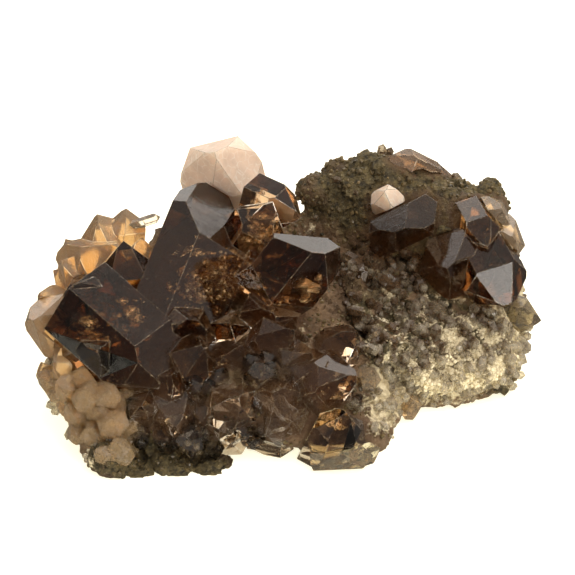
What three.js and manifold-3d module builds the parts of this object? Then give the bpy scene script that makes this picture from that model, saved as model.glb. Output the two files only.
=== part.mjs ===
// A smoky quartz specimen: a plate of broken rock that stands on its flat feet and carries a crop of
// smoky quartz crystals, paler frosted crystals along its left rim and top, and a sparkling crust of
// small crystals in the hollow on its right.
// Millimetres, +Z up. The origin is under the middle of the specimen, on the surface that it stands on,
// and the side that is shown faces -Y.
import * as THREE from "three";
import { mergeVertices } from "three/addons/utils/BufferGeometryUtils.js";
import Module from "manifold-3d";

const wasm = await Module();
wasm.setup();

// Driving dimensions
const SHOWN_TILT = THREE.MathUtils.degToRad(28); // the side that is shown leans back by this much
const ORIGIN_BACK = 30; // from the front edge of the rock to the middle of the specimen
const SEAM = 0.3; // clearance between two pieces that touch
const ROCK_CELL = 3.9; // size of the facets of the broken rock
const CRUST_THICKNESS = 1.5;

// Quartz: the long axis is 1.1 times the short one, which fixes every angle between faces.
const AXIS_RATIO = 1.1;
const POINT_TILT = Math.atan((AXIS_RATIO * 2) / Math.sqrt(3));

// A place on the side that is shown: across it, up it from the front foot, and back from the front edge.
function seen(across, up, back) {
  return new THREE.Vector3(
    across,
    back - ORIGIN_BACK,
    up / Math.cos(SHOWN_TILT) - back * Math.tan(SHOWN_TILT),
  );
}

// A direction on the side that is shown: right, up, and out towards the viewer.
function heading(right, up, out) {
  return new THREE.Vector3(
    right,
    up * Math.sin(SHOWN_TILT) - out * Math.cos(SHOWN_TILT),
    up * Math.cos(SHOWN_TILT) + out * Math.sin(SHOWN_TILT),
  ).normalize();
}

// A repeatable random number from 0 to 1 for each call.
function randomFrom(seed) {
  let state = seed;
  return () => {
    state = (Math.imul(state, 1664525) + 1013904223) >>> 0;
    return state / 2 ** 32;
  };
}

// Convex solids from their planes
function convexGeometry(planes) {
  const corners = [];
  const onPlane = planes.map(() => []);
  const close = 1e-4;
  for (let a = 0; a < planes.length; a++)
    for (let b = a + 1; b < planes.length; b++)
      for (let c = b + 1; c < planes.length; c++) {
        const point = meetingPoint(planes[a], planes[b], planes[c]);
        if (!point) continue;
        if (planes.some((p) => p.distanceToPoint(point) > close)) continue;
        if (corners.some((p) => p.distanceTo(point) < close * 5)) continue;
        corners.push(point);
      }
  corners.forEach((corner, i) =>
    planes.forEach((p, k) => {
      if (Math.abs(p.distanceToPoint(corner)) < close * 5) onPlane[k].push(i);
    }),
  );
  const index = [];
  onPlane.forEach((ring, k) => {
    if (ring.length < 3) return;
    const sorted = sortAround(ring, corners, planes[k].normal);
    for (let i = 1; i + 1 < sorted.length; i++)
      index.push(sorted[0], sorted[i], sorted[i + 1]);
  });
  const geometry = new THREE.BufferGeometry().setFromPoints(corners);
  geometry.setIndex(index);
  return geometry;
}

function meetingPoint(a, b, c) {
  const bc = new THREE.Vector3().crossVectors(b.normal, c.normal);
  const det = a.normal.dot(bc);
  if (Math.abs(det) < 1e-7) return null;
  const ca = new THREE.Vector3().crossVectors(c.normal, a.normal);
  const ab = new THREE.Vector3().crossVectors(a.normal, b.normal);
  return bc
    .multiplyScalar(-a.constant)
    .addScaledVector(ca, -b.constant)
    .addScaledVector(ab, -c.constant)
    .divideScalar(det);
}

function sortAround(ring, corners, normal) {
  const middle = new THREE.Vector3();
  ring.forEach((i) => middle.addScaledVector(corners[i], 1 / ring.length));
  const first = corners[ring[0]].clone().sub(middle).normalize();
  const second = new THREE.Vector3().crossVectors(normal, first);
  const angle = (i) => {
    const offset = corners[i].clone().sub(middle);
    return Math.atan2(offset.dot(second), offset.dot(first));
  };
  return [...ring].sort((i, j) => angle(i) - angle(j));
}

function solidFrom(geometry) {
  const bare = geometry.clone();
  bare.deleteAttribute("normal");
  bare.deleteAttribute("uv");
  const merged = mergeVertices(bare, 1e-4);
  return new wasm.Manifold(
    new wasm.Mesh({
      numProp: 3,
      vertProperties: new Float32Array(merged.attributes.position.array),
      triVerts: new Uint32Array(merged.index.array),
    }),
  );
}

// Quartz crystals
// tip: where the point is; axis: the way that it points; width: across its flat sides; length: from the
// tip to the root; roll: turns it about its axis; sides and faces: how far each of the six sides and
// the six faces of the point stands out, as shares of half the width.
function crystalPlanes(crystal, grow = 0) {
  const { tip, axis, width, length, roll = 0, sides = [], faces = [] } = crystal;
  const out = heading(0, 0, 1);
  const toward = Math.abs(axis.dot(out)) > 0.85 ? heading(0, 1, 0) : out;
  const front = toward.clone().addScaledVector(axis, -toward.dot(axis)).normalize();
  const right = new THREE.Vector3().crossVectors(axis, front);
  const half = width / 2;
  const planes = [];
  for (let i = 0; i < 6; i++) {
    const turn = THREE.MathUtils.degToRad(roll + i * 60);
    const side = front
      .clone()
      .multiplyScalar(Math.cos(turn))
      .addScaledVector(right, Math.sin(turn));
    const sideOut = half * (sides[i] ?? 1) + grow;
    planes.push(planeAt(side, tip.clone().addScaledVector(side, sideOut)));
    const face = side
      .clone()
      .multiplyScalar(Math.sin(POINT_TILT))
      .addScaledVector(axis, Math.cos(POINT_TILT));
    const faceOut = half * (faces[i] ?? (i % 2) * 0.12) + grow;
    planes.push(planeAt(face, tip.clone().addScaledVector(face, faceOut)));
  }
  const root = axis.clone().negate();
  const rootMiddle = tip.clone().addScaledVector(root, length);
  planes.push(planeAt(root, rootMiddle.clone().addScaledVector(root, grow)));
  return planes;
}

function planeAt(normal, point) {
  return new THREE.Plane().setFromNormalAndCoplanarPoint(normal, point);
}

function crystalSolid(crystal, grow = 0) {
  return solidFrom(convexGeometry(crystalPlanes(crystal, grow)));
}

// One crystal of a list: its tip as seen, its heading, its width and length, and its habit.
function point(place, direction, width, length, roll = 0, habit = {}) {
  return { tip: seen(...place), axis: heading(...direction), width, length, roll, ...habit };
}

// A crystal that follows its neighbours, with a habit of its own from a seed.
function wildPoint(place, direction, width, length, seed) {
  const random = randomFrom(seed * 7919 + 17);
  const sides = Array.from({ length: 6 }, () => 0.85 + 0.3 * random());
  const faces = Array.from({ length: 6 }, (_, i) => (i % 2) * 0.15 + 0.3 * random() - 0.15);
  return point(place, direction, width, length, random() * 60, { sides, faces });
}

// Broken rock
// Its lumps: centre and half sizes, in the specimen's own frame before the origin is moved back.
const ROCK_LUMPS = [
  { at: [-21, 23, 8], half: [21, 15, 9] },
  { at: [1, 22, 8], half: [17, 14, 9] },
  { at: [-10, 38, 11], half: [27, 14, 12] },
  { at: [26, 43, 8], half: [13, 12, 9] },
  { at: [18, 55, 18], half: [17, 7, 18] },
  { at: [33, 52, 14], half: [9, 7, 14] },
  { at: [25, 37, 4], half: [12, 8, 6] },
  { at: [-12, 52, 10], half: [13, 9, 12] },
];
// Its feet: where they stand and how wide they are.
const ROCK_FEET = [
  { at: [-25, 12], half: [8, 6] },
  { at: [10, 12], half: [8, 6] },
  { at: [31, 37], half: [8, 6] },
  { at: [-27, 40], half: [8, 6] },
  { at: [6, 50], half: [9, 6] },
];
const FOOT_DIP = 1.6;
const ROCK_ROUGHNESS = [
  { size: 9, height: 1.5 },
  { size: 4.3, height: 0.7 },
];

function latticeNoise(x, y, z) {
  const cell = [x, y, z].map(Math.floor);
  const part = [x, y, z].map((value, i) => value - cell[i]);
  const ease = part.map((t) => t * t * (3 - 2 * t));
  let sum = 0;
  for (let corner = 0; corner < 8; corner++) {
    const step = [corner & 1, (corner >> 1) & 1, corner >> 2];
    const weight = step.reduce((w, s, i) => w * (s ? ease[i] : 1 - ease[i]), 1);
    sum += weight * latticeValue(cell[0] + step[0], cell[1] + step[1], cell[2] + step[2]);
  }
  return sum * 2 - 1;
}

function latticeValue(i, j, k) {
  let h = Math.imul(i, 374761393) ^ Math.imul(j, 668265263) ^ Math.imul(k, 2147483647 - 5);
  h = Math.imul(h ^ (h >>> 13), 1274126177);
  h ^= h >>> 16;
  return (h >>> 0) / 2 ** 32;
}

// How far a point lies outside the rock, in millimetres: negative inside it.
function rockField(x, y, z) {
  const lump = ({ at, half }) =>
    (Math.hypot((x - at[0]) / half[0], (y - at[1]) / half[1], (z - at[2]) / half[2]) - 1) *
    Math.min(...half);
  const softness = 2.5;
  let sum = 0;
  for (const one of ROCK_LUMPS) sum += Math.exp(-lump(one) / softness);
  for (const foot of ROCK_FEET)
    sum += Math.exp(
      -lump({ at: [...foot.at, 3 - FOOT_DIP], half: [...foot.half, 4] }) / softness,
    );
  let field = -softness * Math.log(sum);
  for (const { size, height } of ROCK_ROUGHNESS)
    field -= height * latticeNoise(x / size + 3.1, y / size + 7.7, z / size + 1.3);
  return field;
}

// A closed facetted surface where field equals level: one corner in each cell that the surface
// crosses, and one quadrilateral round each lattice edge that it crosses.
function surfaceOf(field, low, high, cell, level) {
  const lattice = latticeOf(field, low, high, cell, level);
  fillPinches(lattice, cell);
  const corners = [];
  const cornerOf = new Map();
  forEachCell(lattice, (i, j, k) => {
    const middle = crossingMiddle(lattice, i, j, k);
    if (!middle) return;
    cornerOf.set(lattice.at(i, j, k), corners.length);
    corners.push(new THREE.Vector3(...middle.map((m, n) => low[n] + m * cell)));
  });
  const geometry = new THREE.BufferGeometry().setFromPoints(corners);
  geometry.setIndex(crossedEdges(lattice, cornerOf));
  return geometry;
}

function latticeOf(field, low, high, cell, level) {
  const count = low.map((value, i) => Math.ceil((high[i] - value) / cell) + 1);
  const at = (i, j, k) => (k * count[1] + j) * count[0] + i;
  const values = new Float64Array(count[0] * count[1] * count[2]);
  for (let k = 0; k < count[2]; k++)
    for (let j = 0; j < count[1]; j++)
      for (let i = 0; i < count[0]; i++) {
        const place = [i, j, k].map((n, axis) => low[axis] + n * cell);
        values[at(i, j, k)] = field(...place) - level;
      }
  return { count, at, values };
}

function forEachCell({ count }, visit) {
  for (let k = 0; k + 1 < count[2]; k++)
    for (let j = 0; j + 1 < count[1]; j++)
      for (let i = 0; i + 1 < count[0]; i++) visit(i, j, k);
}

const CELL_CORNERS = [0, 1, 2, 3, 4, 5, 6, 7].map((n) => [n & 1, (n >> 1) & 1, n >> 2]);
const CELL_SIDES = [0, 1, 2].flatMap((axis) =>
  [0, 1].map((end) => {
    const u = 1 << (axis + 1) % 3;
    const v = 1 << (axis + 2) % 3;
    const base = end << axis;
    return [base, base + u, base + u + v, base + v];
  }),
);

// Where the surface would touch itself along an edge or at a point, the lattice is filled a little.
function fillPinches(lattice, cell) {
  const { at, values } = lattice;
  let filled = true;
  while (filled) {
    filled = false;
    forEachCell(lattice, (i, j, k) => {
      const places = CELL_CORNERS.map(([a, b, c]) => at(i + a, j + b, k + c));
      const inside = places.map((place) => values[place] < 0);
      if (!isPinched(inside)) return;
      const nearest = places
        .filter((_, n) => !inside[n])
        .reduce((best, place) => (values[place] < values[best] ? place : best));
      values[nearest] = -cell / 6;
      filled = true;
    });
  }
}

function isPinched(inside) {
  const alternates = ([a, b, c, d]) =>
    inside[a] === inside[c] && inside[b] === inside[d] && inside[a] !== inside[b];
  return CELL_SIDES.some(alternates) || !isConnected(inside, true) || !isConnected(inside, false);
}

function isConnected(inside, kind) {
  const wanted = inside.map((value) => value === kind);
  const first = wanted.indexOf(true);
  if (first < 0) return true;
  const reached = new Set([first]);
  for (const n of reached)
    for (const step of [1, 2, 4]) if (wanted[n ^ step]) reached.add(n ^ step);
  return reached.size === wanted.filter(Boolean).length;
}

function crossingMiddle({ at, values }, i, j, k) {
  const sum = [0, 0, 0];
  let crossings = 0;
  for (let axis = 0; axis < 3; axis++)
    for (let side = 0; side < 4; side++) {
      const start = [0, 0, 0];
      start[(axis + 1) % 3] = side & 1;
      start[(axis + 2) % 3] = side >> 1;
      const end = [...start];
      end[axis] = 1;
      const from = values[at(i + start[0], j + start[1], k + start[2])];
      const to = values[at(i + end[0], j + end[1], k + end[2])];
      if (from < 0 === to < 0) continue;
      const share = from / (from - to);
      start.forEach((s, n) => (sum[n] += s + (n === axis ? share : 0)));
      crossings++;
    }
  if (!crossings) return null;
  return [i, j, k].map((base, n) => base + sum[n] / crossings);
}

function crossedEdges({ count, at, values }, cornerOf) {
  const index = [];
  for (let k = 1; k + 1 < count[2]; k++)
    for (let j = 1; j + 1 < count[1]; j++)
      for (let i = 1; i + 1 < count[0]; i++)
        for (let axis = 0; axis < 3; axis++) {
          const step = unit(axis);
          const here = values[at(i, j, k)] < 0;
          if (here === values[at(i + step[0], j + step[1], k + step[2])] < 0) continue;
          const u = unit((axis + 1) % 3);
          const v = unit((axis + 2) % 3);
          const cellAt = (a, b) =>
            cornerOf.get(
              at(i - a * u[0] - b * v[0], j - a * u[1] - b * v[1], k - a * u[2] - b * v[2]),
            );
          const ring = [cellAt(0, 0), cellAt(1, 0), cellAt(1, 1), cellAt(0, 1)];
          const [p, q, r, s] = here ? ring : ring.reverse();
          index.push(p, q, r, p, r, s);
        }
  return index;
}

function unit(axis) {
  return [0, 1, 2].map((n) => (n === axis ? 1 : 0));
}

const ROCK_LOW = [-57, -9, -12];
const ROCK_HIGH = [57, 72, 48];

function rockSolid(level) {
  const skin = surfaceOf(rockField, ROCK_LOW, ROCK_HIGH, ROCK_CELL, level);
  skin.translate(0, -ORIGIN_BACK, 0);
  return aboveTable(solidFrom(skin));
}

// What is below the surface that the specimen stands on is cut away, which makes its feet flat.
const TABLE_SPAN = 200;
const TABLE_DEPTH = 20;
function aboveTable(solid) {
  const below = new THREE.BoxGeometry(TABLE_SPAN, TABLE_SPAN, TABLE_DEPTH);
  below.translate(0, 0, -TABLE_DEPTH / 2);
  return solid.subtract(solidFrom(below));
}

// The crystals
// A small crystal that grew where the line of sight through a place meets the rock. It stands out of
// the rock by its height, and its root goes as deep again.
const SIGHT_STEP = 0.25;
function grownPoint([across, up], direction, width, height, seed) {
  let back = 0;
  while (!isRock(seen(across, up, back))) back += SIGHT_STEP;
  const crystal = wildPoint([across, up, back], direction, width, height * 2, seed);
  crystal.tip.addScaledVector(crystal.axis, height);
  return crystal;
}

function isRock({ x, y, z }) {
  return rockField(x, y + ORIGIN_BACK, z) < SEAM + CRUST_THICKNESS;
}

const MAIN_CRYSTALS = [
  // the tall crystal in the middle, which leans back
  point([-14, 52.7, 47], [0.34, 0.86, -0.38], 16, 35, -36, {
    sides: [0.95, 1.35, 1.6, 1, 0.75, 0.5],
    faces: [0.15, 0, 0.45, 0.5, 0.1, 0.1],
  }),
  // the broad one right of it, whose point is towards the viewer
  point([6, 40.2, 17], [0.33, 0.22, 0.92], 16, 28, -5, {
    sides: [0.55, 0.95, 1.05, 0.95, 0.75, 0.7],
    faces: [0, 0.4, 0.1, 0, 0.12, 0.4],
  }),
  // the long striped one on the left, which lies on its side and has a point at both ends
  point([-17, 15.2, 8], [0.72, -0.62, 0.3], 17, 27, -35, {
    sides: [0.85, 0.9, 1, 1, 1, 0.9],
    faces: [-0.1, 0.1, 0, 0.2, 0.3, 0.3],
  }),
  point([-37.5, 34.5, 17], [-0.45, 0.35, 0.82], 9, 16, 10),
  // the brown one under it
  point([-33, 23, 8], [-0.15, 0.1, 0.97], 16, 22, 12),
];

const REAR_CRYSTALS = [
  point([-28.9, 42.5, 30], [-0.1, 0.85, 0.5], 9, 18, 0),
  point([-2, 49.5, 34], [0.4, 0.6, 0.6], 9, 22, 10),
  point([-0.5, 54.5, 52], [0.1, 0.6, 0.79], 7.5, 20, 0),
  point([7.5, 52, 48], [0.5, 0.4, 0.77], 8.5, 22, 0),
  point([3, 46.6, 34], [0.75, -0.35, 0.5], 8, 11, 20),
];

const FRONT_CRYSTALS = [
  point([-19, 9.5, 1], [0.1, -0.3, 0.95], 9, 20, 10),
  point([-20, 18.5, 6], [0.1, 0.35, 0.93], 10, 20, 20),
  point([-8, 14.5, 3], [0.15, 0.2, 0.97], 8.5, 18, 20),
  wildPoint([-12, 9, 3], [-0.1, -0.3, 0.95], 6, 14, 4),
  wildPoint([-9.5, 6.5, 4], [0, -0.3, 0.95], 7, 14, 5),
  point([-2, 15.5, 4], [-0.15, 0.25, 0.95], 12, 20, 5),
  wildPoint([0, 9, 3.5], [0.1, -0.15, 0.98], 12, 16, 7),
  point([7.5, 20, 8], [0.3, 0.35, 0.88], 10.5, 20, 25),
  point([13, 18.5, 7], [0.75, 0.2, 0.62], 9.5, 24, 40),
  wildPoint([12.4, 25.5, 15], [0.5, 0.45, 0.74], 8, 18, 9),
  point([11, 12, 3], [0.3, 0.6, 0.74], 8, 16, 30),
  wildPoint([8.7, 7.8, 2], [-0.1, 0.1, 0.98], 9, 16, 11),
  wildPoint([15, 5, 6], [0.6, -0.2, 0.75], 8, 14, 12),
  wildPoint([-26, 6, 5], [-0.3, -0.3, 0.9], 8, 16, 13),
  wildPoint([-18, 4, 5], [0, -0.35, 0.93], 7, 14, 14),
  wildPoint([-25, 13.5, 4], [-0.1, 0.15, 0.98], 7, 16, 15),
];

const MIDDLE_CRYSTALS = [
  wildPoint([-8, 23.6, 13], [0.2, 0.5, 0.84], 9, 18, 21),
  point([2, 26.5, 14], [0.5, 0.3, 0.8], 9, 20, 5),
  point([5, 22.5, 12], [0.6, 0.3, 0.7], 7.5, 18, 35),
  wildPoint([-14.4, 23.5, 9], [0.35, 0.45, 0.82], 8, 18, 24),
  wildPoint([-10.7, 28, 17], [-0.1, 0.4, 0.91], 10, 20, 25),
  wildPoint([-2, 29.5, 17], [0.1, 0.1, 0.99], 11, 20, 26),
  wildPoint([-16, 28, 13], [0.3, 0.3, 0.9], 9, 18, 27),
];

const PALE_FRONT_CRYSTALS = [
  wildPoint([-36.2, 18.2, 8], [-0.35, 0.1, 0.93], 9, 16, 31),
  wildPoint([-32, 12, 4], [-0.2, -0.1, 0.97], 11, 18, 32),
  wildPoint([-38.5, 11, 9], [-0.6, -0.1, 0.8], 7, 14, 33),
  wildPoint([-44.5, 28, 18], [-0.5, 0.1, 0.86], 10, 20, 34),
  wildPoint([-41.6, 21, 13], [-0.6, 0, 0.8], 8, 16, 35),
  wildPoint([-28, 7, 4], [-0.3, -0.2, 0.93], 7, 14, 36),
  wildPoint([-35, 9, 6], [-0.4, -0.2, 0.9], 8, 16, 37),
  wildPoint([-31, 3.5, 6], [-0.4, -0.4, 0.8], 7, 14, 38),
  wildPoint([-37, 15, 8], [-0.5, 0, 0.86], 7, 14, 39),
];

const PALE_REAR_CRYSTALS = [
  wildPoint([-36.2, 41.8, 30], [-0.2, 0.5, 0.84], 12, 22, 41),
  wildPoint([-39.8, 38.7, 30], [-0.6, 0.5, 0.6], 8, 16, 42),
  wildPoint([-39.3, 43.2, 38], [-0.45, 0.8, 0.4], 9, 20, 43),
  wildPoint([-33.5, 47, 40], [-0.2, 0.9, 0.35], 9, 20, 44),
  wildPoint([-28.5, 48.3, 42], [0.1, 0.95, 0.3], 7, 20, 45),
  wildPoint([-25.6, 42.7, 38], [0.2, 0.9, 0.4], 6.5, 18, 46),
  wildPoint([-42.5, 37.2, 34], [-0.7, 0.5, 0.5], 8, 16, 47),
  wildPoint([-44, 33, 26], [-0.6, 0.5, 0.6], 7, 18, 48),
];

const ROD_CRYSTAL = [point([-22.5, 47, 41], [0.93, 0.3, -0.1], 1.7, 12, 10)];

const CROWN_CRYSTAL = [
  point([-12.2, 58, 50], [-0.1, 0.4, 0.9], 13.4, 20, 15, {
    sides: [0.85, 1, 1.02, 0.95, 1, 1],
    faces: [0.2, 0.35, 0.25, 0.3, 0.2, 0.35],
  }),
];

// the dark one with a flat top, over the hollow
const LEDGE_CRYSTAL = [
  point([21, 44.5, 36], [-0.1, -0.1, 0.98], 13, 20, 25, {
    sides: [0.55, 0.9, 1.1, 0.55, 0.9, 1.1],
    faces: [0, 0.3, 0.1, 0, 0.3, 0.1],
  }),
];

const RIGHT_CRYSTALS = [
  point([29.5, 37.5, 32], [-0.2, -0.1, 0.97], 11.5, 20, 15),
  point([40.5, 31, 30], [0.36, -0.7, 0.62], 11, 17, -16, {
    sides: [0.8, 1, 1, 1, 1, 1],
    faces: [0, 0.2, 0.1, 0, 0.2, 0.1],
  }),
  point([37, 41.5, 37], [0.25, -0.5, 0.83], 7, 12, -10),
];

const AMBER_CRYSTALS = [
  wildPoint([41.2, 43.5, 40], [0.35, 0.1, 0.93], 9.5, 18, 61),
  wildPoint([40.5, 48, 43], [0.4, 0.35, 0.85], 8.5, 16, 62),
];

const EDGE_CRYSTAL = [point([47.2, 28, 38], [0.9, -0.25, 0.35], 6, 18, 10)];
const PERCHED_CRYSTAL = [wildPoint([18.6, 51.5, 44], [-0.1, 0.4, 0.9], 5.5, 9, 71)];
const WALL_TOP_CRYSTALS = [
  wildPoint([19.5, 58, 54], [-0.75, 0.35, 0.55], 5.5, 10, 81),
  wildPoint([24, 57, 54], [-0.4, 0.3, 0.8], 5, 12, 82),
];

// the small ones in the hollow, part of its crust
const HOLLOW_CRYSTALS = [
  grownPoint([21.1, 37.2], [0.3, 0.5, 0.8], 3, 2.5, 91),
  grownPoint([17.6, 34.4], [-0.3, 0.4, 0.85], 3.4, 2.6, 92),
  grownPoint([19.1, 31.1], [0.2, -0.2, 0.95], 4.5, 2, 93),
  grownPoint([16.6, 24.2], [-0.2, 0.6, 0.75], 5, 3, 94),
  grownPoint([22.6, 34.6], [0.3, 0.2, 0.9], 3, 2, 95),
  grownPoint([27.8, 30], [0.2, 0.5, 0.8], 3.6, 2.4, 96),
  grownPoint([15, 18], [0.3, 0.4, 0.85], 4, 2.5, 97),
  grownPoint([23, 13], [0.2, 0.3, 0.9], 4, 2.4, 98),
];

// Pieces
function unionOf(crystals, grow = 0) {
  return crystals.map((one) => crystalSolid(one, grow)).reduce((a, b) => a.add(b));
}

function biggestOf(solid) {
  return solid.decompose().reduce((a, b) => (a.volume() > b.volume() ? a : b));
}

function meshOf(name, solid, material) {
  const { numProp, vertProperties, triVerts } = solid.getMesh();
  const corners = new Float32Array((vertProperties.length / numProp) * 3);
  for (let i = 0; i < corners.length / 3; i++)
    corners.set(vertProperties.subarray(i * numProp, i * numProp + 3), i * 3);
  const geometry = new THREE.BufferGeometry()
    .setAttribute("position", new THREE.BufferAttribute(corners, 3))
    .setIndex(new THREE.BufferAttribute(new Uint32Array(triVerts), 1));
  geometry.computeVertexNormals();
  const mesh = new THREE.Mesh(geometry, material);
  mesh.name = name;
  return mesh;
}

const smoky = new THREE.MeshStandardMaterial({ color: 0x2b1c12, roughness: 0.12, metalness: 0 });
const amber = new THREE.MeshStandardMaterial({ color: 0x8a5a2c, roughness: 0.25, metalness: 0 });
const pale = new THREE.MeshStandardMaterial({ color: 0xe6cfa4, roughness: 0.35, metalness: 0 });
const stone = new THREE.MeshStandardMaterial({ color: 0x6a664c, roughness: 0.9, metalness: 0 });

const rock = biggestOf(rockSolid(0));
const rockWithSeam = rockSolid(SEAM);

const specimen = new THREE.Group();
specimen.add(meshOf("rock_matrix", rock, stone));

// Each group of crystals that grew into each other is one solid. A group added later gives way to the
// rock and to the groups before it.
let taken = rockWithSeam;

// The crust is a layer of the hollow's floor and back wall, as thick all over.
const HOLLOW = { at: [27, 40, 13], half: [19, 20, 15] };
const HOLLOW_DETAIL = 2; // how finely the region of the hollow is divided

function crustSolid() {
  const region = new THREE.IcosahedronGeometry(1, HOLLOW_DETAIL)
    .scale(...HOLLOW.half)
    .translate(HOLLOW.at[0], HOLLOW.at[1] - ORIGIN_BACK, HOLLOW.at[2]);
  return rockSolid(SEAM + CRUST_THICKNESS).intersect(solidFrom(region));
}

function addCrystals(name, crystals, material) {
  const solid = aboveTable(unionOf(crystals).subtract(taken));
  specimen.add(meshOf(name, biggestOf(solid), material));
  taken = taken.add(unionOf(crystals, SEAM));
}

addCrystals(
  "smoky_crystal_cluster",
  [...MAIN_CRYSTALS, ...REAR_CRYSTALS, ...FRONT_CRYSTALS, ...MIDDLE_CRYSTALS],
  smoky,
);
addCrystals("ledge_crystal", LEDGE_CRYSTAL, smoky);
addCrystals("right_smoky_crystals", RIGHT_CRYSTALS, smoky);
addCrystals("amber_flank_crystals", AMBER_CRYSTALS, amber);
addCrystals("pale_front_crystals", PALE_FRONT_CRYSTALS, pale);
addCrystals("pale_rear_crystals", PALE_REAR_CRYSTALS, pale);
addCrystals("pale_crown_crystal", CROWN_CRYSTAL, pale);
addCrystals("rod_crystal", ROD_CRYSTAL, pale);
addCrystals("clear_edge_crystal", EDGE_CRYSTAL, pale);
addCrystals("perched_crystal", PERCHED_CRYSTAL, pale);
addCrystals("wall_top_crystals", WALL_TOP_CRYSTALS, amber);
const crust = crustSolid().add(unionOf(HOLLOW_CRYSTALS)).subtract(taken);
specimen.add(meshOf("druse_crust", biggestOf(crust), pale));

// The origin goes under the middle of the specimen.
const middle = new THREE.Box3().setFromObject(specimen).getCenter(new THREE.Vector3());
specimen.children.forEach((mesh) => mesh.geometry.translate(-middle.x, -middle.y, 0));

export default specimen;
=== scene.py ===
# %% [markdown]
# # A smoky quartz specimen
# A hand-sized piece of broken rock that carries a crop of smoky quartz. The big crystals are clear brown
# glass by nature: what makes them dark is the length of the light's way through them. So they are made as
# solid see-through bodies that swallow a little light on every millimetre, with the real rock behind them.
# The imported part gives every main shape. This script gives each one its surface, adds what is too small
# for the part, and sets up the light table that such specimens are shown on.

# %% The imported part
import math
import random

import bmesh
import bpy
from mathutils import Matrix, Vector, noise
from mathutils.bvhtree import BVHTree


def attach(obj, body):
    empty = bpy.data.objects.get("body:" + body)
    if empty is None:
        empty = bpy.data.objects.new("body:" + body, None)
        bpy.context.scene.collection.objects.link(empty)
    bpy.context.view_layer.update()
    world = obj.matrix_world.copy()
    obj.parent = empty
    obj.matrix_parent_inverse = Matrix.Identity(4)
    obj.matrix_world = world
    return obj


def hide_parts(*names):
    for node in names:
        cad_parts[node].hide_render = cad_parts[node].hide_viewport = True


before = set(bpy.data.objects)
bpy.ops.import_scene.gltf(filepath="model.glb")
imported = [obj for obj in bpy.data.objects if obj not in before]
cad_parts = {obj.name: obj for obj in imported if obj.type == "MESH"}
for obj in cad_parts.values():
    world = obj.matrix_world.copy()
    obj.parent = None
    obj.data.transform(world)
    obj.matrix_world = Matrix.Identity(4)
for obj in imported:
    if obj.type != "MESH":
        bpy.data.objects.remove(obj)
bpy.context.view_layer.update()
MM = 0.001

# %% [markdown]
# ## Camera
# The specimen is seen from the front and a little above, through a long lens that shows hardly any
# perspective. A camera could also be orthographic, but a far one with a long lens keeps the small
# difference in size between front and back that a real lens shows.

# %% Camera
SHOWN_TILT = math.radians(28)
VIEW_WIDTH = 104.5 * MM
VIEW_DISTANCE = 0.9
SENSOR_MM = 36
AIM = Vector((0.4, 0.0, 20.55)) * MM

camera_data = bpy.data.cameras.new("camera")
camera_data.sensor_width = SENSOR_MM
camera_data.lens = SENSOR_MM * VIEW_DISTANCE / VIEW_WIDTH
camera_data.clip_start = 0.05
camera_data.clip_end = 20
camera = bpy.data.objects.new("camera", camera_data)
toward_viewer = Vector((0, -math.cos(SHOWN_TILT), math.sin(SHOWN_TILT)))
camera.location = AIM + toward_viewer * VIEW_DISTANCE
camera.rotation_euler = (-toward_viewer).to_track_quat("-Z", "Y").to_euler()
bpy.context.scene.collection.objects.link(camera)
bpy.context.scene.camera = camera
print("lens, mm:", round(camera_data.lens))

# %% [markdown]
# ## Places on the side that is shown
# The specimen was measured from the front, so a place on it is given as it is seen: so far across, so far up
# from the front foot, and so far back from the front edge of the rock. A line of sight finds what is there.

# %% Places as they are seen
MIDDLE_ACROSS = 0.23
MIDDLE_BACK = 33.96
SIGHT_START = -60


def seen(across, up, back):
    """A place as the front view shows it, in millimetres."""
    height = up / math.cos(SHOWN_TILT) - back * math.tan(SHOWN_TILT)
    return Vector((across - MIDDLE_ACROSS, back - MIDDLE_BACK, height)) * MM


def heading(right, up, out):
    """A direction as the front view shows it: right, up, and out towards the viewer."""
    direction = Vector((right, 0, 0)) + toward_viewer * out
    direction += Vector((0, math.sin(SHOWN_TILT), math.cos(SHOWN_TILT))) * up
    return direction.normalized()


def first_hit(trees, across, up):
    """Where the line of sight first meets one of the solids, its normal there, and which solid."""
    start = seen(across, up, SIGHT_START)
    hits = []
    for number, one in enumerate(trees):
        place, normal, _, distance = one.ray_cast(start, -toward_viewer)
        if place is not None:
            hits.append((distance, number, place, normal))
    if not hits:
        return None
    _, number, place, normal = min(hits, key=lambda hit: hit[0])
    return place, normal, number


print("front edge of the rock at the foot, mm:", [round(v / MM, 1) for v in seen(0, 0, 0)])

# %% [markdown]
# ## Small helpers for node trees
# Every material and every Geometry Nodes tree below is built from the same step: add a node, set what it
# has, and join what feeds it. One helper does that, so that each recipe reads as a list of its nodes.

# %% Node helpers


def put(tree, kind, inputs=None, **settings):
    """Adds a node. An input is a value, or a socket of another node to join it to."""
    node = tree.nodes.new(kind)
    for key, value in settings.items():
        setattr(node, key, value)
    for key, value in (inputs or {}).items():
        if isinstance(value, bpy.types.NodeSocket):
            tree.links.new(value, node.inputs[key])
        else:
            node.inputs[key].default_value = value
    return node


def new_material(name, tint):
    made = bpy.data.materials.new(name)
    made.diffuse_color = (*tint, 1)
    made.use_nodes = True
    made.node_tree.nodes.clear()
    return made, made.node_tree


print("materials before the first recipe:", len(bpy.data.materials))

# %% [markdown]
# ## Patterns and mixes
# Natural stone is cloudy at every scale. Image textures would show their grain up close, so each pattern is
# noise in millimetres of the specimen: a ramp picks a range of it, and a blend or a bump turns that range
# into a colour or a height.

# %% Patterns and mixes


def place_of(tree):
    """A point's place on the object, in metres."""
    return put(tree, "ShaderNodeTexCoord").outputs["Object"]


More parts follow.
